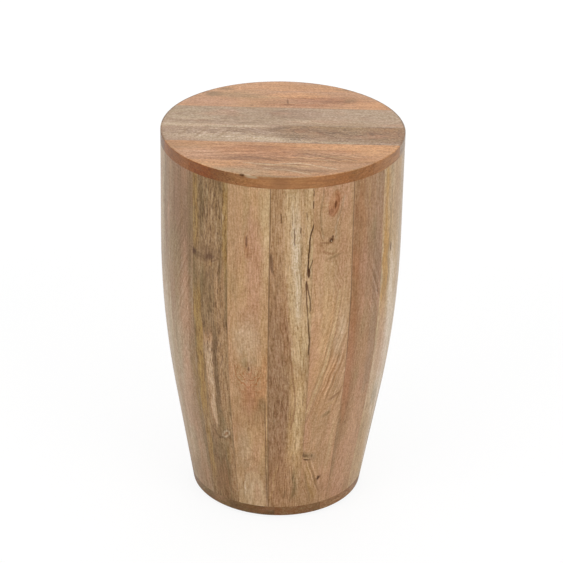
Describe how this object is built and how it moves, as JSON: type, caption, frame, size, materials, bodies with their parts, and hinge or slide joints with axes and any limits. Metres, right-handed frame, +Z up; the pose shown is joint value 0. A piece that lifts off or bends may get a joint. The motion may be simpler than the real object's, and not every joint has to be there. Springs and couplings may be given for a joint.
{
  "type": "drum side table",
  "caption": "Closed wooden drum side table of glued upright staves that taper to a narrower base, with a flat round boarded top, for use beside a seat.",
  "frame": {"origin": "on the floor, under the middle of the drum", "axes": "+Z up along the drum's axis, -Y towards the front as pictured, +X to the viewer's right; the top boards run along X"},
  "size_m": [0.303, 0.303, 0.5],
  "materials": {
    "wood_pale": "satin clear lacquer over sanded hardwood",
    "wood_tan": "satin clear lacquer over sanded hardwood",
    "wood_peach": "satin clear lacquer over sanded hardwood",
    "wood_russet": "satin clear lacquer over sanded hardwood",
    "wood_mauve": "satin clear lacquer over sanded hardwood",
    "wood_umber": "satin clear lacquer over sanded hardwood",
    "wood_ochre": "satin clear lacquer over sanded hardwood",
    "plywood": "bare sanded plywood",
    "screw_steel": "zinc-plated steel",
    "glide_nylon": "matt moulded nylon"
  },
  "bodies": {
    "root": {"stave_01": "wood_pale", "stave_02": "wood_peach", "stave_03": "wood_russet", "stave_04": "wood_ochre", "stave_05": "wood_mauve", "stave_06": "wood_tan", "stave_07": "wood_pale", "stave_08": "wood_umber", "stave_09": "wood_peach", "stave_10": "wood_tan", "stave_11": "wood_ochre", "stave_12": "wood_russet", "stave_13": "wood_pale", "stave_14": "wood_mauve", "stave_15": "wood_ochre", "stave_16": "wood_mauve", "stave_17": "wood_umber", "stave_18": "wood_tan", "top_board_01": "wood_russet", "top_board_02": "wood_peach", "top_board_03": "wood_umber", "top_board_04": "wood_mauve", "top_board_05": "wood_peach", "top_board_06": "wood_russet", "base_board_01": "wood_umber", "base_board_02": "wood_russet", "base_board_03": "wood_russet", "base_board_04": "wood_peach", "top_plug": "plywood", "base_plug": "plywood", "top_screws": "screw_steel", "base_screws": "screw_steel", "glide_nails": "screw_steel", "floor_glide_01": "glide_nylon", "floor_glide_02": "glide_nylon", "floor_glide_03": "glide_nylon", "floor_glide_04": "glide_nylon"}
  },
  "joints": []
}
